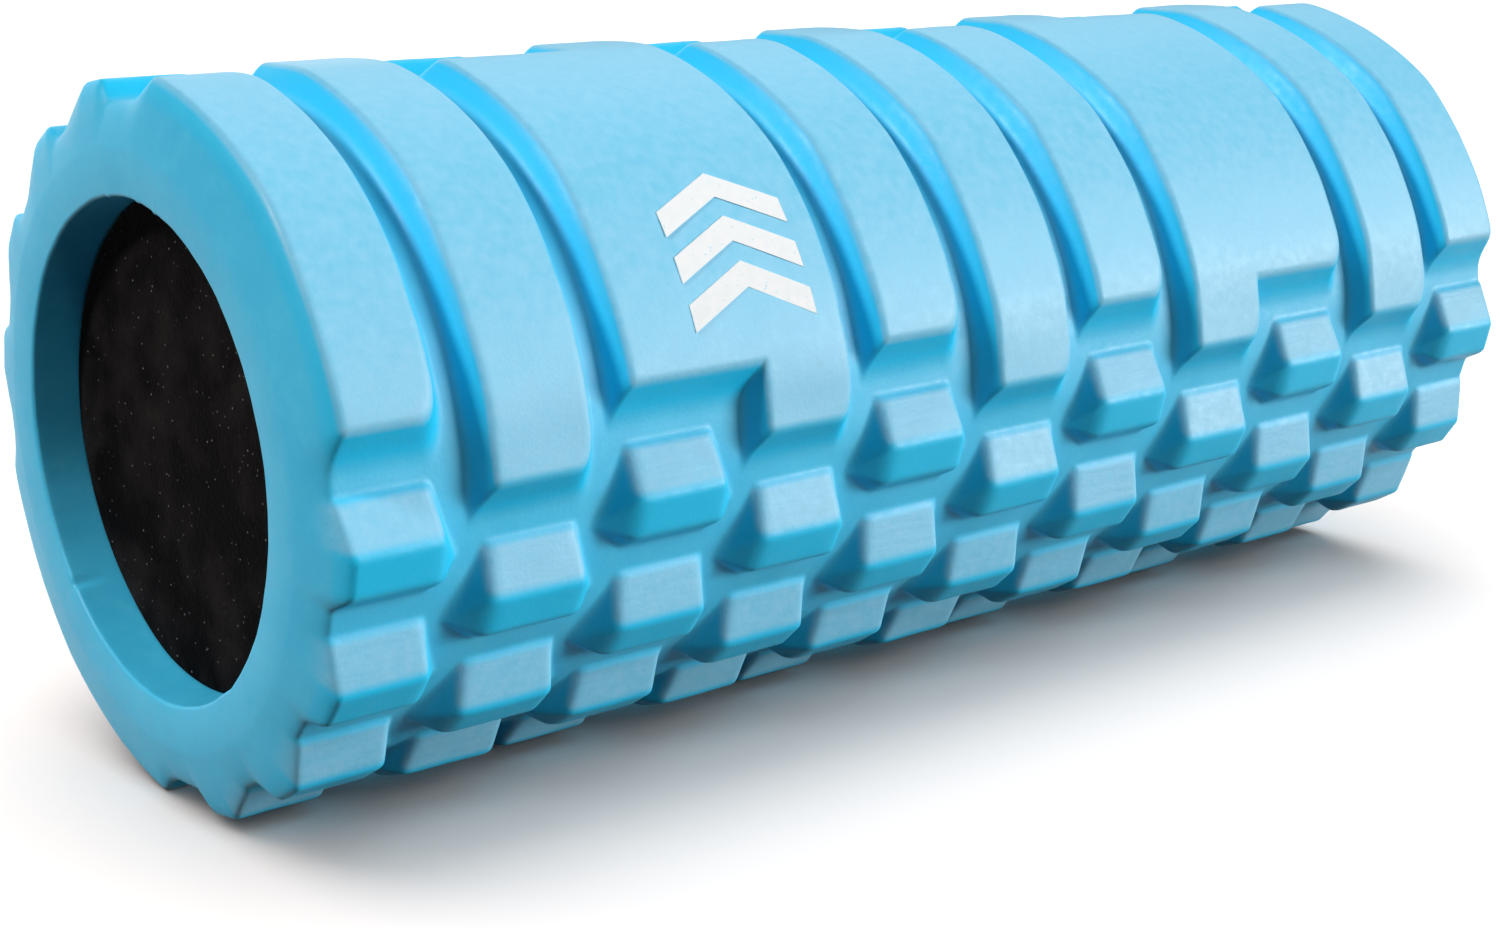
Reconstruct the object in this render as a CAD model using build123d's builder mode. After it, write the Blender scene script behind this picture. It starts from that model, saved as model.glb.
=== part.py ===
from build123d import *
from math import cos, radians, sin
import os

# Foam roller: a moulded foam sleeve with a massage relief, glued round a solid foam core.
# Millimetres. The roller lies on the ground along X, with the origin under its middle.
# Angles run round the axis in degrees: 0 is straight up (+Z) and 90 is the -Y side.

# ---- driving dimensions ----
length = 330.0              # end face to end face
outer_radius = 70.0         # over the crests of the strips and knobs
groove_radius = 64.4        # floor of the grooves between them
root_radius = 60.0          # the strips and knobs are rooted this deep in the sleeve
clearance = 1.0             # how far the shapes that trim the sleeve stand clear of its crests
bore_radius = 47.5
recess_depth = 9.5          # how far the core stops short of each end face
end_flat_radius = 56.0      # edge of the flat ring on each end face
end_bevel_length = 3.0      # the end bevel runs from that edge out to the crests

# relief: eleven rings of strips and knobs, the same twice round the roller
ring_count = 11
ring_pitch = 30.6
ring_top_width = 21.3
ring_draft = 2.3            # how far each side of a ring leans out, crest to groove floor
strip_centre = 41.0         # the ridge along the middle of each strip
facet_angle = 35.375        # a strip has one facet on each side of that ridge
facet_dip = 0.7             # how far the middle of a facet lies inside the crest circle
strip_end_slope = 5.2       # the angle over which a strip's end falls to the groove floor
stagger = 11.25             # the even rings' strips run on, flat, by this at each end
wide_starts = (3, 8)        # on these rings the strip is joined to the next ring's strip

knob_start = 86.35          # the first knob of the odd rings
knob_step = 22.5
knob_crest = 8.0            # from a knob's start to the end of its ramp
knob_corner = 12.6          # to where its foot is widest
knob_edge = 14.3            # to its lower edge
knob_foot = 17.5            # to its foot
knob_edge_radius = 69.2
knob_half_width = 10.0
knob_near_spread = 7.2      # how far its -X side leans out at the foot's widest
knob_far_spread = 5.2       # how far its +X side does

# printed mark: chevrons in a stack, on the first wide strip
mark_film = 0.2             # thickness of the ink
mark_width = 29.0
mark_bar = 5.2              # height of a chevron's bar
mark_point = 7.0            # how far a chevron's point rises above its ends
mark_step = 9.3
mark_count = 3
mark_shift = 5.0            # from the middle of the wide strip, towards the far end

# ---- worked out from them ----
# the roller lies on the flat between an even strip's start and the next odd strip's start,
# which is centred on 180 degrees
axis_height = outer_radius * cos(radians(stagger / 2))
axis = Axis((0, 0, axis_height), (1, 0, 0))
section = Plane((0, 0, axis_height), x_dir=(0, 1, 0), z_dir=(1, 0, 0))
side_view = Plane((0, 0, axis_height), x_dir=(1, 0, 0), z_dir=(0, -1, 0))


def polar(angle, radius):
    """A point of the cross-section, on the section plane."""
    return (-radius * sin(radians(angle)), radius * cos(radians(angle)))


def polar_3d(x, angle, radius):
    """The same point in space, at station x."""
    y, z = polar(angle, radius)
    return Vector(x, y, z + axis_height)


def facet_points(start, film=0.0):
    """Start, middle and end of the facet that begins at an angle, under a film."""
    return (polar(start, outer_radius + film),
            polar(start + facet_angle / 2, outer_radius - facet_dip + film),
            polar(start + facet_angle, outer_radius + film))


def ring_x(ring):
    return (ring - (ring_count + 1) / 2) * ring_pitch


def make_strip(first_ring, last_ring, run_on):
    """One strip over one or two rings, with leaning sides and sloping ends."""
    x_start = ring_x(first_ring) - ring_top_width / 2
    x_end = ring_x(last_ring) + ring_top_width / 2
    lean = ring_draft / (outer_radius - groove_radius)
    root_lean = lean * (outer_radius - root_radius)
    clear_lean = lean * clearance
    top_halves = sorted({facet_angle, facet_angle + run_on})
    foot_half = facet_angle + run_on + strip_end_slope
    foot_start = strip_centre - foot_half
    foot_end = strip_centre + foot_half
    with BuildPart() as strip:
        with BuildSketch(side_view):
            with BuildLine():
                Polyline((x_start - root_lean, root_radius),
                         (x_start + clear_lean, outer_radius + clearance),
                         (x_end - clear_lean, outer_radius + clearance),
                         (x_end + root_lean, root_radius), close=True)
            make_face()
        revolve(axis=axis)
        with BuildSketch(section):
            with BuildLine():
                ThreePointArc(*facet_points(strip_centre - facet_angle))
                ThreePointArc(*facet_points(strip_centre))
                Polyline(*[polar(strip_centre + half, outer_radius) for half in top_halves],
                         polar(foot_end, groove_radius), polar(foot_end, root_radius))
                ThreePointArc(*[polar(a, root_radius) for a in (foot_end, strip_centre, foot_start)])
                Polyline(*[polar(strip_centre - half, outer_radius) for half in top_halves],
                         polar(foot_start, groove_radius), polar(foot_start, root_radius))
            make_face()
        extrude(amount=length, both=True, mode=Mode.INTERSECT)
    return strip.part


def make_knob():
    """One wedge-shaped knob at station 0, starting at angle 0."""
    outline = [(0, groove_radius), (knob_crest, outer_radius), (knob_edge, knob_edge_radius),
               (knob_foot, groove_radius), (knob_foot, root_radius), (0, root_radius)]
    widest = knob_half_width + max(knob_near_spread, knob_far_spread)
    with BuildPart() as knob:
        with BuildSketch(section):
            with BuildLine():
                Polyline(*[polar(angle, radius) for angle, radius in outline], close=True)
            make_face()
        extrude(amount=widest + clearance, both=True)
        for side, spread in ((-1, knob_near_spread), (1, knob_far_spread)):
            start = polar_3d(side * knob_half_width, 0, groove_radius)
            crest = polar_3d(side * knob_half_width, knob_crest, outer_radius)
            edge = polar_3d(side * knob_half_width, knob_edge, knob_edge_radius)
            foot = polar_3d(side * knob_half_width, knob_foot, groove_radius)
            corner = polar_3d(side * (knob_half_width + spread), knob_corner, groove_radius)
            for top_a, top_b in ((start, crest), (crest, edge), (edge, foot)):
                normal = (top_b - top_a).cross(corner - top_a)
                if normal.X * side < 0:
                    normal = -normal
                split(bisect_by=Plane(origin=top_a, z_dir=normal), keep=Keep.BOTTOM)
    return knob.part


# ---- sleeve ----
odd_rings = range(1, ring_count + 1, 2)
even_rings = range(2, ring_count + 1, 2)

strips = []
for ring in odd_rings:
    first = ring - 1 if ring - 1 in wide_starts else ring
    last = ring + 1 if ring in wide_starts else ring
    strips.append(make_strip(first, last, 0))
for ring in even_rings:
    strips.append(make_strip(ring, ring, stagger))

plain_knob = make_knob()
knobs = []
for ring in range(1, ring_count + 1):
    even = ring % 2 == 0
    for number in range(3 if even else 4):
        angle = knob_start + number * knob_step + (stagger if even else 0)
        knobs.append(Pos(ring_x(ring), 0, 0) * plain_knob.rotate(axis, angle))
features = strips + knobs

with BuildPart() as sleeve:
    with BuildSketch(section):
        Circle(groove_radius)
    extrude(amount=length / 2, both=True)
    add(features)
    add([feature.rotate(axis, 180) for feature in features])
    with BuildSketch(side_view):
        with BuildLine():
            Polyline((-length / 2, 0), (-length / 2, end_flat_radius),
                     (end_bevel_length - length / 2, outer_radius + clearance),
                     (length / 2 - end_bevel_length, outer_radius + clearance),
                     (length / 2, end_flat_radius), (length / 2, 0), close=True)
        make_face()
    revolve(axis=axis, mode=Mode.INTERSECT)
    with BuildSketch(section):
        Circle(bore_radius)
    extrude(amount=length, both=True, mode=Mode.SUBTRACT)
sleeve.part.label = "foam_sleeve"

# ---- core ----
with BuildPart() as core:
    with BuildSketch(section):
        Circle(bore_radius)
    extrude(amount=length / 2 - recess_depth, both=True)
core.part.label = "foam_core"

# ---- printed mark ----
mark_x = (ring_x(wide_starts[0]) + ring_x(wide_starts[0] + 1)) / 2 + mark_shift
mark_angle = strip_centre + facet_angle / 2
mark_face = Plane(polar_3d(mark_x, mark_angle, root_radius), x_dir=(1, 0, 0),
                  z_dir=(0, -sin(radians(mark_angle)), cos(radians(mark_angle))))

with BuildPart() as mark:
    with BuildSketch(section.offset(mark_x)):
        with BuildLine():
            crest = ThreePointArc(*facet_points(strip_centre))
            ink = ThreePointArc(*facet_points(strip_centre, mark_film))
            Line(crest @ 0, ink @ 0)
            Line(crest @ 1, ink @ 1)
        make_face()
    extrude(amount=mark_width, both=True)
    with BuildSketch(mark_face):
        with GridLocations(0, mark_step, 1, mark_count):
            Polygon((-mark_width / 2, -mark_bar), (0, mark_point - mark_bar), (mark_width / 2, -mark_bar),
                    (mark_width / 2, 0), (0, mark_point), (-mark_width / 2, 0), align=None)
    extrude(amount=outer_radius, mode=Mode.INTERSECT)
mark.part.label = "printed_mark"

os.makedirs("parts", exist_ok=True)
for piece in (sleeve, core, mark):
    export_step(piece.part, f"parts/{piece.part.label}.step")
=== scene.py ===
from math import cos, radians, sin, sqrt

import bmesh
import bpy
import numpy as np
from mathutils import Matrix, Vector


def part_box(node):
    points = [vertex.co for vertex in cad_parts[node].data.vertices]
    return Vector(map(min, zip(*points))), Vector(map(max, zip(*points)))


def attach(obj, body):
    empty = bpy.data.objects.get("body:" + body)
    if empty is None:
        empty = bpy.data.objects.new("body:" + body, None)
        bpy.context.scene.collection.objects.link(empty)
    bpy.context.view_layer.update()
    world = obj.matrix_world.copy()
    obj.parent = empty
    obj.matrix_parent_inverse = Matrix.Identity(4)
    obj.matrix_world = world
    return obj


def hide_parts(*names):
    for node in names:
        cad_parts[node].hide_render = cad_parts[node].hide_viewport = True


# A foam roller that lies along X. Lengths are in metres. Angles run round the roller's axis in degrees:
# 0 is straight up and 90 is the -Y side. A height is a distance from the axis.
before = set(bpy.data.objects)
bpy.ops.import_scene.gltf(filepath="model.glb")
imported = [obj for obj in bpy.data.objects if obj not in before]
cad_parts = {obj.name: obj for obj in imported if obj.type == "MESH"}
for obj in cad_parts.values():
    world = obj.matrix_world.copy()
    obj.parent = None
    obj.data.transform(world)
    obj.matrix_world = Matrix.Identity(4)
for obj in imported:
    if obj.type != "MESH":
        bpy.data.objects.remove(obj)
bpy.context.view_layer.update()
MM = 0.001

# ---- sizes that the frame holds ----
sleeve_low, sleeve_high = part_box("foam_sleeve")
core_low, core_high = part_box("foam_core")
LENGTH = sleeve_high.x - sleeve_low.x
AXIS_Z = (core_low.z + core_high.z) / 2
BORE_RADIUS = (core_high.z - core_low.z) / 2
CORE_END = core_high.x

# ---- the sleeve's relief ----
OUTER_RADIUS = 70 * MM              # over the crests of the strips and knobs
GROOVE_RADIUS = 64.4 * MM
BASE_RADIUS = 60.0 * MM             # below every groove
RING_COUNT = 11
RING_PITCH = 30.6 * MM
RING_HALF = 10.65 * MM              # half of a ring's width at its crest
RING_DRAFT = 2.3 * MM               # how far each side of a ring leans out, crest to groove
FLANK_SLOPE = (OUTER_RADIUS - GROOVE_RADIUS) / RING_DRAFT
HALF_TURN = 180.0                   # the relief is the same on both halves of the roller

STRIP_CENTRE = 41.0                 # the ridge along the middle of each strip
FACET_ANGLE = 35.375                # a strip has one facet on each side of that ridge
FACET_DIP = 0.7 * MM                # how far the middle of a facet lies inside the crest circle
STRIP_END_SLOPE = 5.2               # the angle over which a strip's end falls to the groove
STAGGER = 11.25                     # the even rings' strips run on, flat, by this at each end
WIDE_STARTS = (3, 8)                # on these rings the strip is joined to the next ring's strip

ODD_RING_KNOBS = 4                  # on each half of the roller
EVEN_RING_KNOBS = 3
KNOB_START = 86.35                  # where the first knob of an odd ring starts
KNOB_STEP = 22.5
KNOB_CREST = 8.0                    # from a knob's start to the end of its ramp
KNOB_CORNER = 12.6                  # to where its foot is widest
KNOB_EDGE = 14.3                    # to its lower edge
KNOB_FOOT = 17.5                    # to its foot
KNOB_EDGE_RADIUS = 69.2 * MM
KNOB_HALF_WIDTH = 10.0 * MM
KNOB_NEAR_SPREAD = 7.2 * MM         # how far its -X side leans out at the foot's widest
KNOB_FAR_SPREAD = 5.2 * MM          # how far its +X side does
KNOB_LIP = 0.8 * MM                 # the small step where a ramp starts
KNOB_LIP_START = -0.3               # degrees from a knob's start
KNOB_LIP_RISE = 1.6 * MM            # for each degree

END_FLAT_RADIUS = 56.0 * MM         # edge of the flat ring on each end face
END_BEVEL = 3.0 * MM
BEVEL_CLEARANCE = 1.0 * MM          # the bevel ends this far above the crests

# ---- how softly two surfaces meet: the height difference over which they are blended ----
EDGE_ROUND = 3.6 * MM               # a strip's crest and its sides
END_ROUND = 1.0 * MM                # a strip's crest and its ends
CORNER_ROUND = 10.0 * MM            # a strip's +X side and its ends
NEAR_CORNER_ROUND = 2.5 * MM        # a strip's -X side and its ends
RIDGE_ROUND = 0.8 * MM              # a facet and the flat that runs on past it
RIDGE_ROUND_ANGLE = 1.5             # the ridge between the two facets, in degrees
KNOB_EDGE_ROUND = 1.6 * MM          # a knob's lower edge
SIDE_ROUND = 1.6 * MM               # a knob's top and its sides
CREASE_ROUND = 0.6 * MM             # a knob's other creases
FOOT_ROUND = 2.6 * MM               # a strip and the groove
KNOB_FOOT_ROUND = 1.0 * MM          # a knob and the groove
CAP_ROUND = 9.0 * MM                # the end bevel and everything that it trims
RIM_ROUND = 0.8 * MM                # radius of the bore's round rim

# ---- how finely the sleeve is worked out ----
ANGLE_STEP = 0.5
STATION_STEPS = (0, 2.5, 5, 7, 8.4, 9.2, 9.7, 10.1, 10.45, 10.8, 11.2, 11.6, 12.0, 12.4, 12.8, 13.2,
                 13.7, 14.4, 15.3)  # millimetres from a ring's middle, closest on its sides
END_STEPS = (0, 0.25, 0.5, 0.8, 1.1, 1.5, 1.9, 2.3, 2.7, 3.2, 3.7, 4.3, 5.0, 5.8)  # from an end face
END_ZONE = 6.3 * MM                 # within this of an end face, only the steps above are used
RIM_TURNS = (90, 65, 40, 15, 0)     # round the rim's quarter circle
WALL_STATIONS = 8                   # along the bore, from the rim to the core
RING_REACH = 0.75 * RING_PITCH      # a ring is worked out this far from its middle
KNOB_REACH = 4                      # and a knob for this many degrees past both its ends
NO_LIMIT = 1.0                      # the height of a plane behind the axis, which cuts nothing

# ---- the unevenness of real foam ----
RIPPLE = 0.05 * MM                  # the swing of its longest wave
LONGEST_WAVE = 60 * MM
SHORTEST_WAVE = 9 * MM
WAVE_COUNT = 10
# the bore's edge: waves round it as (number, phase, swing), and marks as (place, width, size),
# with widths in degrees and swings and sizes in millimetres
RIM_WAVES = ((3, 1, 0.10), (8, 2, 0.07), (19, 0, 0.05), (47, 3, 0.03))
RIM_MARKS = ((226, 1.3, 0.7), (352, 0.8, -0.35), (6, 1.0, -0.3), (14, 0.7, -0.35), (141, 2.5, 0.3))

# ---- where the skin's painted sheen and painted shade lie ----
# the crests and the knobs' ramps are painted paler, as a painted sheen, and the sides a deeper blue, as
# painted shade
CREST_FADE = 0.5 * MM               # the drop over which the painted sheen fades out
CREST_REACH = 1.6                   # it is gone this many such drops below the ideal crest
SIDE_START = 0.4 * MM               # height above the groove where a side's painted shade starts
END_MASK_START = 0.3                # share of the end bevel where both start
RAMP_END = KNOB_CREST - 0.5         # where the painted sheen and the creases of a knob's ramp end

# ---- the core ----
CORE_GAP = 0.05 * MM                # between the core and the bore
CORE_WEAR = 0.8 * MM                # how far the face's edge is worn back
WORN_FROM = 0.975                   # share of the radius where the wear starts
CORE_DENTS = (17, 11, 6)            # sizes of the dents in the cut face, in millimetres
DENT_SHARE = 0.05                   # depth of a dent as a share of its size
DENT_DEPTH = 0.4                    # share of that which is cut into the face

# ---- colours ----
SKIN_COLOUR = (0.06, 0.58, 0.88)
SKIN_DARK = (0.045, 0.53, 0.83)
SKIN_PALE = (0.10, 0.65, 0.90)
# painted shade on the sides of the strips and knobs: a deeper blue with almost no red
SKIN_SIDE_SHADE = (0.005, 0.58, 0.92)
# painted sheen on the crests and the knobs' ramps: paler, greyer blues that stand in for the haze of gloss
SKIN_SHEEN = (0.18, 0.59, 0.83)
SKIN_SHEEN_PALE = (0.25, 0.63, 0.86)
CORE_COLOUR = (0.008, 0.008, 0.008)
CORE_DARK = (0.0025, 0.002, 0.002)
CORE_CLOUD = (0.019, 0.016, 0.016)
CORE_SPECK = (0.22, 0.20, 0.20)
INK_COLOUR = (0.88, 0.89, 0.89)
INK_THIN = (0.62, 0.76, 0.83)
FLOOR_COLOUR = (0.90, 0.845, 0.82)
BACKDROP_COLOUR = (0.9, 0.9, 0.9)


def soft_min(a, b, k):
    """The smaller of two heights, with the corner between them rounded off over k."""
    h = np.maximum(k - np.abs(a - b), 0) / k
    return np.minimum(a, b) - h * h * k / 4


def soft_max(a, b, k):
    """The larger of two heights, with the corner between them filled in over k."""
    return -soft_min(-a, -b, k)


def direction(angle):
    """The Y and Z parts of the unit vector that points out from the axis at an angle."""
    a = np.radians(angle)
    return np.array((-np.sin(a), np.cos(a)))


def plane_height(x, angle, points):
    """Height of the plane through three points, given as (x, angle, height), at each x and angle."""
    p = [np.array((px, *(direction(pa) * pr))) for px, pa, pr in points]
    normal = np.cross(p[1] - p[0], p[2] - p[0])
    side, up = direction(angle)
    height = (normal @ p[0] - normal[0] * x) / (normal[1] * side + normal[2] * up)
    return np.where(height > 0, height, NO_LIMIT)


def crest_height(angle):
    """Height of a strip's crest: two facets, each an arc, and the flat that runs on past them."""
    half = radians(FACET_ANGLE / 2)
    rise = OUTER_RADIUS - FACET_DIP - OUTER_RADIUS * cos(half)
    arc_radius = ((OUTER_RADIUS * sin(half)) ** 2 + rise ** 2) / (2 * rise)
    offset = arc_radius - OUTER_RADIUS + FACET_DIP
    off_centre = np.sqrt((angle - STRIP_CENTRE) ** 2 + RIDGE_ROUND_ANGLE ** 2)
    a = np.radians(off_centre - FACET_ANGLE / 2)
    facet = np.sqrt(arc_radius ** 2 - (offset * np.sin(a)) ** 2) - offset * np.cos(a)
    past = np.radians(off_centre - FACET_ANGLE - STAGGER / 2)
    run_on = OUTER_RADIUS * cos(radians(STAGGER / 2)) / np.cos(past)
    return soft_min(facet, run_on, RIDGE_ROUND)


def ring_x(ring):
    """The station of a ring's middle. Rings count from 1 at the near end."""
    return (ring - (RING_COUNT + 1) / 2) * RING_PITCH


def strip_height(x, angle, x_start, x_end, top_half):
    """A strip with leaning sides and sloping ends, whose crest reaches top_half either side of its ridge."""
    left = OUTER_RADIUS + (x - x_start) * FLANK_SLOPE
    right = OUTER_RADIUS + (x_end - x) * FLANK_SLOPE
    off_centre = STRIP_CENTRE + np.abs(angle - STRIP_CENTRE)
    top_end = STRIP_CENTRE + top_half
    foot_end = top_end + STRIP_END_SLOPE
    end = plane_height(0, off_centre, [(0, top_end, OUTER_RADIUS), (0, foot_end, GROOVE_RADIUS),
                                       (1, foot_end, GROOVE_RADIUS)])
    sides = np.minimum(left, right)
    corner_round = np.where(x < (x_start + x_end) / 2, NEAR_CORNER_ROUND, CORNER_ROUND)
    end_share = np.clip(0.5 + (sides - end) / (2 * corner_round), 0, 1)
    walls = soft_min(sides, end, corner_round)
    return soft_min(walls, crest_height(angle), EDGE_ROUND + (END_ROUND - EDGE_ROUND) * end_share)


def knob_sides(x, angle, spread):
    """The three planes of the side of a knob that faces the way that x grows."""
    half = KNOB_HALF_WIDTH
    crest = (half, KNOB_CREST, OUTER_RADIUS)
    edge = (half, KNOB_EDGE, KNOB_EDGE_RADIUS)
    corner = (half + spread, KNOB_CORNER, GROOVE_RADIUS)
    upper = plane_height(x, angle, [(half, 0, GROOVE_RADIUS), crest, corner])
    middle = plane_height(x, angle, [crest, edge, corner])
    lower = plane_height(x, angle, [edge, corner, (half, KNOB_FOOT, GROOVE_RADIUS)])
    return soft_min(soft_min(upper, middle, CREASE_ROUND), lower, CREASE_ROUND)


def knob_height(x, angle):
    """A wedge-shaped knob at station 0, starting at angle 0."""
    start = GROOVE_RADIUS + KNOB_LIP
    ramp = plane_height(x, angle, [(0, 0, start), (1, 0, start), (0, KNOB_CREST, OUTER_RADIUS)])
    lip = GROOVE_RADIUS + (angle - KNOB_LIP_START) * KNOB_LIP_RISE
    face = plane_height(x, angle, [(0, KNOB_CREST, OUTER_RADIUS), (1, KNOB_CREST, OUTER_RADIUS),
                                   (0, KNOB_EDGE, KNOB_EDGE_RADIUS)])
    foot = plane_height(x, angle, [(0, KNOB_EDGE, KNOB_EDGE_RADIUS), (1, KNOB_EDGE, KNOB_EDGE_RADIUS),
                                   (0, KNOB_FOOT, GROOVE_RADIUS)])
    near = knob_sides(-x, angle, KNOB_NEAR_SPREAD)
    far = knob_sides(x, angle, KNOB_FAR_SPREAD)
    sides = np.where(x < 0, near, far)
    body = soft_min(soft_min(ramp, face, CREASE_ROUND), lip, KNOB_LIP / 2)
    return soft_min(soft_min(body, foot, KNOB_EDGE_ROUND), sides, SIDE_ROUND)


def raise_to(height, rows, columns, shape):
    """Raise the chosen rows and columns of a height field to a shape, wherever it is higher."""
    cells = np.ix_(rows, columns)
    height[cells] = np.maximum(height[cells], shape)


def ripple(x, angle):
    """The slow unevenness of moulded foam, mostly within 0.2 mm of the ideal shape."""
    random = np.random.default_rng(7)
    side, up = direction(angle)
    total = np.zeros(np.broadcast(x, angle).shape)
    for wave_length in np.geomspace(LONGEST_WAVE, SHORTEST_WAVE, WAVE_COUNT):
        pull = random.normal(size=3)
        pull *= 2 * np.pi / wave_length / np.linalg.norm(pull)
        phase = random.uniform(0, 2 * np.pi)
        swing = RIPPLE * sqrt(wave_length / LONGEST_WAVE)
        across = GROOVE_RADIUS * (pull[1] * side + pull[2] * up)
        total = total + swing * np.sin(pull[0] * x + across + phase)
    return total


def knob_starts(ring):
    """The angles at which a ring's knobs start, on one half of the roller."""
    even = ring % 2 == 0
    first = KNOB_START + (STAGGER if even else 0)
    return [first + number * KNOB_STEP for number in range(EVEN_RING_KNOBS if even else ODD_RING_KNOBS)]


def surface_height(x, angle):
    """Outer height of the sleeve at each station (a column) and angle (a row)."""
    angle = angle % HALF_TURN
    strips = np.full(np.broadcast(x, angle).shape, BASE_RADIUS)
    knobs = strips.copy()
    for ring in range(1, RING_COUNT + 1):
        even = ring % 2 == 0
        stagger = STAGGER if even else 0
        middle = ring_x(ring)
        first = ring - 1 if ring - 1 in WIDE_STARTS and not even else ring
        last = ring + 1 if ring in WIDE_STARTS and not even else ring
        rows = (x[:, 0] > ring_x(first) - RING_REACH) & (x[:, 0] < ring_x(last) + RING_REACH)
        for turn in (-HALF_TURN, 0, HALF_TURN):
            turned = angle + turn
            columns = np.abs(turned[0] - STRIP_CENTRE) < FACET_ANGLE + STRIP_END_SLOPE + 2 * STAGGER
            if columns.any():
                strip = strip_height(x[rows], turned[:, columns], ring_x(first) - RING_HALF,
                                     ring_x(last) + RING_HALF, FACET_ANGLE + stagger)
                raise_to(strips, rows, columns, strip)
            for start in knob_starts(ring):
                from_start = turned - start
                columns = (from_start[0] > -KNOB_REACH) & (from_start[0] < KNOB_FOOT + KNOB_REACH)
                if columns.any():
                    knob = knob_height(x[rows] - middle, from_start[:, columns])
                    raise_to(knobs, rows, columns, knob)
    strips = soft_max(strips, GROOVE_RADIUS, FOOT_ROUND)
    knobs = soft_max(knobs, GROOVE_RADIUS, KNOB_FOOT_ROUND)
    return soft_max(strips, knobs, KNOB_LIP / 2)


def smooth_mesh(name, vertices, faces):
    """A new smooth-shaded object from rows of points and rows of point numbers."""
    mesh = bpy.data.meshes.new(name)
    mesh.vertices.add(len(vertices))
    mesh.vertices.foreach_set("co", np.ascontiguousarray(vertices, dtype=np.float32).ravel())
    mesh.loops.add(faces.size)
    mesh.loops.foreach_set("vertex_index", np.ascontiguousarray(faces, dtype=np.int32).ravel())
    mesh.polygons.add(len(faces))
    mesh.polygons.foreach_set("loop_start", np.arange(len(faces), dtype=np.int32) * faces.shape[1])
    mesh.polygons.foreach_set("use_smooth", np.ones(len(faces), dtype=bool))
    mesh.update(calc_edges=True)
    obj = bpy.data.objects.new(name, mesh)
    bpy.context.scene.collection.objects.link(obj)
    return obj


def closed_grid(rows, columns):
    """Outward-facing quads between rows of vertices that close on themselves both ways, as on a ring."""
    i = np.arange(rows)[:, None]
    j = np.arange(columns)[None, :]
    next_i = (i + 1) % rows
    next_j = (j + 1) % columns
    corners = (i * columns + j, i * columns + next_j, next_i * columns + next_j, next_i * columns + j)
    return np.stack([np.broadcast_to(c, (rows, columns)) for c in corners], -1).reshape(-1, 4)


def lathe_points(x, height, angle):
    """The points at given stations, heights and angles."""
    side, up = direction(angle)
    return np.stack([np.broadcast_to(x, height.shape), height * side, height * up + AXIS_Z], -1)


def stations():
    """Stations along the roller, close together on the rings' sides and at the ends."""
    steps = np.array(STATION_STEPS) * MM
    one_ring = np.concatenate([-steps[:0:-1], steps[:-1]])
    middle = np.concatenate([ring_x(ring) + one_ring for ring in range(1, RING_COUNT + 1)])
    ends = np.array(END_STEPS) * MM
    inside = middle[np.abs(middle) < LENGTH / 2 - END_ZONE]
    return np.concatenate([ends - LENGTH / 2, inside, LENGTH / 2 - ends[::-1]])


def sleeve():
    """The moulded sleeve: its relief outside, its bore inside, and the masks for painted sheen, painted
    shade and creases that its material reads.
    """
    x = stations()[:, None]
    angle = np.arange(0, 360, ANGLE_STEP)[None, :]
    height = surface_height(x, angle)
    from_end = LENGTH / 2 - np.abs(x)
    cap = END_FLAT_RADIUS + from_end * (OUTER_RADIUS + BEVEL_CLEARANCE - END_FLAT_RADIUS) / END_BEVEL
    height = soft_min(height, np.broadcast_to(cap, height.shape), CAP_ROUND)
    height = height + ripple(x, angle)

    # the bore and the round rim of each end, from the far end back to the near end
    turn = np.radians(np.array(RIM_TURNS))
    rim_x = LENGTH / 2 - RIM_ROUND * (1 - np.sin(turn))
    rim_height = BORE_RADIUS + RIM_ROUND * (1 - np.cos(turn))
    wall_x = np.linspace(LENGTH / 2 - 2 * RIM_ROUND, CORE_END, WALL_STATIONS)
    half_x = np.concatenate([rim_x, wall_x])
    half_height = np.concatenate([rim_height, np.full(WALL_STATIONS, BORE_RADIUS)])
    inner_x = np.concatenate([half_x, -half_x[::-1]])[:, None]
    inner_height = np.concatenate([half_height, half_height[::-1]])[:, None]
    share = np.clip((np.abs(inner_x) - CORE_END) / (LENGTH / 2 - CORE_END), 0, 1)
    inner_height = inner_height + share ** 2 * rim_wear(angle)
    points = np.concatenate([lathe_points(x, height, angle), lathe_points(inner_x, inner_height, angle)])
    # no ripple goes below the floor
    points[..., 2] = np.maximum(points[..., 2], 0)
    obj = smooth_mesh("sleeve", points.reshape(-1, 3), closed_grid(len(points), angle.size))

    nothing = np.zeros((len(inner_x), angle.size))
    ramp = ramp_mask(x, angle)
    from_strip = (angle - STRIP_CENTRE + HALF_TURN / 2) % HALF_TURN - HALF_TURN / 2
    below_crest = crest_height(STRIP_CENTRE + from_strip) - height
    raised = np.clip(CREST_REACH - below_crest / CREST_FADE, 0, 1)
    off_groove = np.clip((height - GROOVE_RADIUS - SIDE_START) / MM, 0, 1)
    on_end = np.clip(from_end / END_BEVEL - END_MASK_START, 0, 1)
    # painted sheen: a paler skin on the strips' crests and the knobs' ramps
    crest = np.maximum(raised * strip_mask(angle), ramp) * on_end
    # painted shade: a deeper, redless blue on the sides of the strips and knobs
    side = off_groove * (1 - np.maximum(raised, ramp)) * on_end
    for name, share in (("ramp", ramp), ("crest", crest), ("side", side)):
        values = np.concatenate([share, nothing]).ravel()
        obj.data.attributes.new(name, "FLOAT", "POINT").data.foreach_set("value", values)
    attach(obj, "root")
    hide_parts("foam_sleeve")
    obj.data.materials.append(foam_skin())
    return obj


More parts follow.
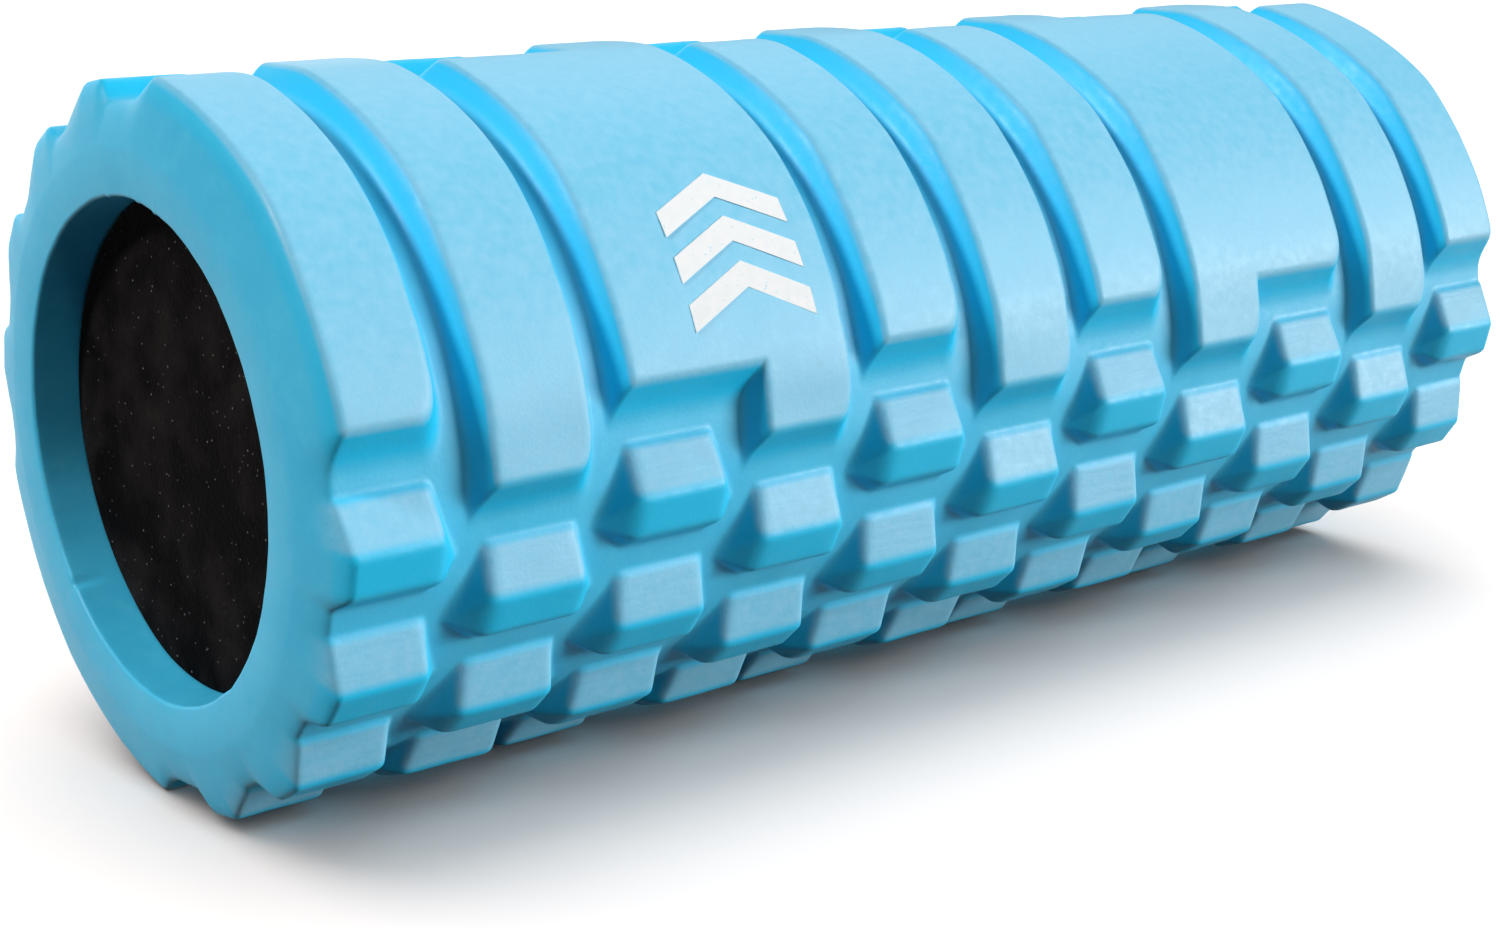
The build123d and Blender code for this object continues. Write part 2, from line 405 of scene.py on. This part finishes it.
def rim_wear(angle):
    """How far the bore's edge strays from round, with one nick and a few crumbs of flash."""
    a = np.radians(angle)
    wear = sum(swing * np.sin(number * a + phase) for number, phase, swing in RIM_WAVES)
    for place, width, size in RIM_MARKS:
        off = (angle - place + 180) % 360 - 180
        wear = wear + size * np.exp(-(off / width) ** 2)
    return wear * MM


def strip_mask(angle):
    """1 at the angles that any strip covers, fading to 0 among the knobs."""
    off_centre = np.abs((angle - STRIP_CENTRE + HALF_TURN / 2) % HALF_TURN - HALF_TURN / 2)
    return np.clip(FACET_ANGLE + STAGGER - off_centre, 0, 1)


def ramp_mask(x, angle):
    """1 on the knobs' ramps and 0 elsewhere."""
    angle = angle % HALF_TURN
    mask = np.zeros(np.broadcast(x, angle).shape)
    for ring in range(1, RING_COUNT + 1):
        off_ring = np.abs(x - ring_x(ring))
        inside = np.clip((KNOB_HALF_WIDTH + MM - off_ring) / MM, 0, 1)
        for start in knob_starts(ring):
            from_start = angle - start
            along = np.clip(from_start, 0, 1) * np.clip(RAMP_END - from_start, 0, 1)
            mask = np.maximum(mask, inside * along)
    return mask


def core():
    """The cut foam core: a disc from end to end whose faces are slightly uneven and worn at the edge."""
    face = np.concatenate([np.linspace(0, 0.9, 24), np.linspace(0.92, 1, 12)])
    radius = face * (BORE_RADIUS - CORE_GAP)
    angle = np.arange(0, 360, 2.0)[None, :]
    wear = CORE_WEAR * np.clip((face - WORN_FROM) / (1 - WORN_FROM), 0, 1) ** 2
    rows_x = np.concatenate([CORE_END - wear, -(CORE_END - wear[::-1])])[:, None]
    rows_height = np.concatenate([radius, radius[::-1]])[:, None]
    side, up = direction(angle)
    dent = np.zeros((len(rows_x), angle.size))
    for number, size in enumerate(CORE_DENTS):
        swing = DENT_SHARE * size * MM / (number + 1)
        across = rows_height / (size * MM)
        dent = dent + swing * np.sin(across * side + number) * np.sin(across * up)
    rows_height = np.broadcast_to(rows_height, dent.shape)
    points = lathe_points(rows_x - np.sign(rows_x) * np.abs(dent) * DENT_DEPTH, rows_height, angle)
    rows, columns = points.shape[:2]
    quads = closed_grid(rows, columns)[:-columns]
    obj = smooth_mesh("core", points.reshape(-1, 3), quads)
    scratch = bmesh.new()
    scratch.from_mesh(obj.data)
    bmesh.ops.remove_doubles(scratch, verts=scratch.verts, dist=0.01 * MM)
    bmesh.ops.recalc_face_normals(scratch, faces=scratch.faces)
    scratch.to_mesh(obj.data)
    scratch.free()
    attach(obj, "root")
    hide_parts("foam_core")
    obj.data.materials.append(cut_foam())
    return obj


# ---- materials ----
def shader(name, colour, roughness):
    """A new material with one colour and roughness."""
    material = bpy.data.materials.new(name)
    material.use_nodes = True
    principled = material.node_tree.nodes["Principled BSDF"]
    principled.inputs["Base Color"].default_value = (*colour, 1)
    principled.inputs["Roughness"].default_value = roughness
    return material


class Nodes:
    """Short calls for the nodes of one material."""

    def __init__(self, material):
        self.tree = material.node_tree
        self.shader = self.tree.nodes["Principled BSDF"]
        self.place = self.tree.nodes.new("ShaderNodeTexCoord").outputs["Object"]

    def link(self, source, target):
        self.tree.links.new(source, target)

    def noise(self, scale, detail=3.0, stretch=None):
        """Noise with grains about 1/scale metres across."""
        node = self.tree.nodes.new("ShaderNodeTexNoise")
        node.inputs["Scale"].default_value = scale
        node.inputs["Detail"].default_value = detail
        place = self.place
        if stretch:
            mapping = self.tree.nodes.new("ShaderNodeMapping")
            mapping.inputs["Scale"].default_value = stretch
            self.link(place, mapping.inputs["Vector"])
            place = mapping.outputs["Vector"]
        self.link(place, node.inputs["Vector"])
        return node.outputs["Fac"]

    def attribute(self, name):
        """One of the masks that the sleeve's mesh carries."""
        node = self.tree.nodes.new("ShaderNodeAttribute")
        node.attribute_name = name
        return node.outputs["Fac"]

    def cells(self, scale):
        """Voronoi cells about 1/scale metres across."""
        node = self.tree.nodes.new("ShaderNodeTexVoronoi")
        node.inputs["Scale"].default_value = scale
        self.link(self.place, node.inputs["Vector"])
        return node.outputs

    def span(self, source, low, high, to_low=0.0, to_high=1.0):
        """Map low..high to to_low..to_high, and hold it at its ends."""
        node = self.tree.nodes.new("ShaderNodeMapRange")
        for name, value in (("From Min", low), ("From Max", high), ("To Min", to_low), ("To Max", to_high)):
            node.inputs[name].default_value = value
        self.link(source, node.inputs["Value"])
        return node.outputs["Result"]

    def multiply(self, a, b):
        node = self.tree.nodes.new("ShaderNodeMath")
        node.operation = "MULTIPLY"
        self.link(a, node.inputs[0])
        self.link(b, node.inputs[1])
        return node.outputs["Value"]

    def mix(self, share, a, b):
        """Blend from colour a to colour b. Each is a colour or another node's output."""
        node = self.tree.nodes.new("ShaderNodeMix")
        node.data_type = "RGBA"
        self.link(share, node.inputs["Factor"])
        for socket, value in ((node.inputs[6], a), (node.inputs[7], b)):
            if isinstance(value, tuple):
                socket.default_value = (*value, 1)
            else:
                self.link(value, socket)
        return node.outputs[2]

    def bump(self, height, distance, strength, under=None):
        """A normal bumped by a height, on top of another normal if there is one."""
        node = self.tree.nodes.new("ShaderNodeBump")
        node.inputs["Distance"].default_value = distance
        node.inputs["Strength"].default_value = strength
        self.link(height, node.inputs["Height"])
        if under:
            self.link(under, node.inputs["Normal"])
        return node.outputs["Normal"]


def foam_skin():
    """The closed skin of moulded foam: satin, slightly mottled, finely grained, creased on the ramps, with a
    painted sheen on the crests and ramps and painted shade on the sides.
    """
    material = shader("moulded_foam_skin", SKIN_COLOUR, 0.5)
    n = Nodes(material)
    n.shader.inputs["Specular IOR Level"].default_value = 0.5
    n.shader.inputs["Coat Weight"].default_value = 0.04
    n.shader.inputs["Coat Roughness"].default_value = 0.25
    clouds = n.span(n.noise(45), 0.3, 0.7)
    mottle = n.span(n.noise(420, 4), 0.3, 0.7)
    colour = n.mix(clouds, SKIN_DARK, SKIN_COLOUR)
    colour = n.mix(n.multiply(mottle, n.span(n.noise(130), 0.4, 0.7, 0.1, 0.6)), colour, SKIN_PALE)
    # painted shade on the sides
    colour = n.mix(n.attribute("side"), colour, SKIN_SIDE_SHADE)
    # painted sheen on the crests and ramps, paler in mottled patches
    painted_sheen = n.mix(mottle, SKIN_SHEEN, SKIN_SHEEN_PALE)
    n.link(n.mix(n.attribute("crest"), colour, painted_sheen), n.shader.inputs["Base Color"])
    n.link(n.span(mottle, 0, 1, 0.46, 0.58), n.shader.inputs["Roughness"])
    creases = n.multiply(n.span(n.noise(1, 4, (110, 650, 650)), 0.35, 0.7), n.attribute("ramp"))
    normal = n.bump(n.noise(1400, 2), 0.1 * MM, 0.3)
    normal = n.bump(n.noise(260, 3), 0.3 * MM, 0.12, normal)
    normal = n.bump(creases, 0.3 * MM, 0.12, normal)
    n.link(normal, n.shader.inputs["Normal"])
    return material


def cut_foam():
    """Cut black foam: matte, with open cells, faint clouds and a few bright specks."""
    material = shader("cut_black_foam", CORE_COLOUR, 0.9)
    n = Nodes(material)
    n.shader.inputs["Specular IOR Level"].default_value = 0.04
    clouds = n.span(n.noise(75, 5), 0.42, 0.68)
    colour = n.mix(clouds, CORE_DARK, CORE_CLOUD)
    specks = n.span(n.cells(520)["Distance"], 0.08, 0.13, 1, 0)
    colour = n.mix(n.multiply(specks, n.span(n.noise(230), 0.42, 0.6)), colour, CORE_SPECK)
    n.link(colour, n.shader.inputs["Base Color"])
    n.link(n.span(clouds, 0, 1, 0.85, 1), n.shader.inputs["Roughness"])
    normal = n.bump(n.cells(900)["Distance"], 0.3 * MM, 0.5)
    n.link(n.bump(n.noise(200, 3), 0.4 * MM, 0.4, normal), n.shader.inputs["Normal"])
    return material


def ink():
    """White ink: matte, a little thin in places, with pinholes where the foam shows."""
    material = shader("white_ink", INK_COLOUR, 0.6)
    n = Nodes(material)
    thin = n.span(n.noise(500, 4), 0.3, 0.7, 0, 0.25)
    colour = n.mix(thin, INK_COLOUR, INK_THIN)
    holes = n.span(n.cells(1100)["Distance"], 0.1, 0.18, 1, 0)
    pinholes = n.multiply(holes, n.span(n.noise(600), 0.55, 0.6))
    n.link(n.mix(pinholes, colour, SKIN_COLOUR), n.shader.inputs["Base Color"])
    n.link(n.span(thin, 0, 0.25, 0.55, 0.7), n.shader.inputs["Roughness"])
    n.link(n.bump(n.noise(1300, 2), 0.1 * MM, 0.3), n.shader.inputs["Normal"])
    return material


# ---- the pieces ----
sleeve_piece = sleeve()
core_piece = core()
mark_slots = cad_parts["printed_mark"].data.materials
mark_slots.clear()
mark_slots.append(ink())

# ---- stage ----
FLOOR_SIZE = 30.0
BACKDROP_RADIUS = 14.0
BACKDROP_HEIGHT = 12.0
CAMERA_LENS = 57.90
CAMERA_OFFSET = (-0.35332, -0.40433, 0.10915)   # from the middle of the roller's axis
CAMERA_AIM = (0.6164, 0.74551, -0.25351)
SKY_STRENGTH = 0.012

bpy.ops.mesh.primitive_plane_add(size=FLOOR_SIZE)
floor = bpy.context.object
floor.name = "floor"
floor.data.materials.append(shader("pale_floor", FLOOR_COLOUR, 0.9))
floor.active_material.node_tree.nodes["Principled BSDF"].inputs["Specular IOR Level"].default_value = 0.1

# only the camera sees the backdrop, so it lights nothing and casts no shadow
bpy.ops.mesh.primitive_cylinder_add(vertices=96, radius=BACKDROP_RADIUS, depth=BACKDROP_HEIGHT,
                                    end_fill_type="TRIFAN", location=(0, 0, BACKDROP_HEIGHT / 2 - MM))
backdrop = bpy.context.object
backdrop.name = "backdrop"
backdrop.data.materials.append(shader("pale_backdrop", BACKDROP_COLOUR, 1.0))
glow = backdrop.active_material.node_tree.nodes["Principled BSDF"]
glow.inputs["Emission Color"].default_value = (1, 1, 1, 1)
glow.inputs["Emission Strength"].default_value = 1.0
backdrop.visible_diffuse = False
backdrop.visible_glossy = False
backdrop.visible_transmission = False
backdrop.visible_volume_scatter = False
backdrop.visible_shadow = False

camera = bpy.data.objects.new("camera", bpy.data.cameras.new("camera"))
bpy.context.scene.collection.objects.link(camera)
camera.data.sensor_width = 36
camera.data.lens = CAMERA_LENS
camera.location = (CAMERA_OFFSET[0], CAMERA_OFFSET[1], AXIS_Z + CAMERA_OFFSET[2])
camera.rotation_euler = Vector(CAMERA_AIM).to_track_quat("-Z", "Y").to_euler()
bpy.context.scene.camera = camera


def sun(name, azimuth, elevation, width, strength, receivers):
    """A soft light, width degrees across. Azimuth 0 is the -Y side, and it grows towards +X."""
    lamp = bpy.data.objects.new(name, bpy.data.lights.new(name, "SUN"))
    lamp.data.angle = radians(width)
    lamp.data.energy = strength
    level = cos(radians(elevation))
    source = Vector((level * sin(radians(azimuth)), -level * cos(radians(azimuth)), sin(radians(elevation))))
    lamp.rotation_euler = source.to_track_quat("Z", "Y").to_euler()
    bpy.context.scene.collection.objects.link(lamp)
    lamp.light_linking.receiver_collection = receivers


# the roller and the floor are lit by separate suns, so the floor stays pale and its shadow falls to
# the front
on_roller = bpy.data.collections.new("lights_on_roller")
for piece in (sleeve_piece, core_piece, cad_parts["printed_mark"]):
    on_roller.objects.link(piece)
on_floor = bpy.data.collections.new("lights_on_floor")
on_floor.objects.link(floor)
sun("right_low", 47, 6, 26, 2.7, on_roller)
sun("right_upper", 50, 22, 28, 1.05, on_roller)
sun("left_softbox", -96, 41, 10, 2.2, on_roller)
sun("left_upper", -95, 66, 30, 0.3, on_roller)
sun("back", 135, 38, 40, 0.5, on_roller)
sun("back_low", 172, 8, 50, 1.1, on_roller)
sun("front_upper", -14, 39, 8, 0.3, on_roller)
sun("floor_wash", 176, 66, 80, 2.4, on_floor)
sun("floor_fill", -20, 58, 90, 2.8, on_floor)

# the floor shows in the roller's gloss but doesn't light it
floor.visible_diffuse = False

# a dim, even sky fills the shadows
world = bpy.data.worlds.new("world")
bpy.context.scene.world = world
world.use_nodes = True
sky = world.node_tree.nodes["Background"]
sky.inputs["Color"].default_value = (1, 1, 1, 1)
sky.inputs["Strength"].default_value = SKY_STRENGTH
bpy.context.scene.view_settings.view_transform = "Standard"
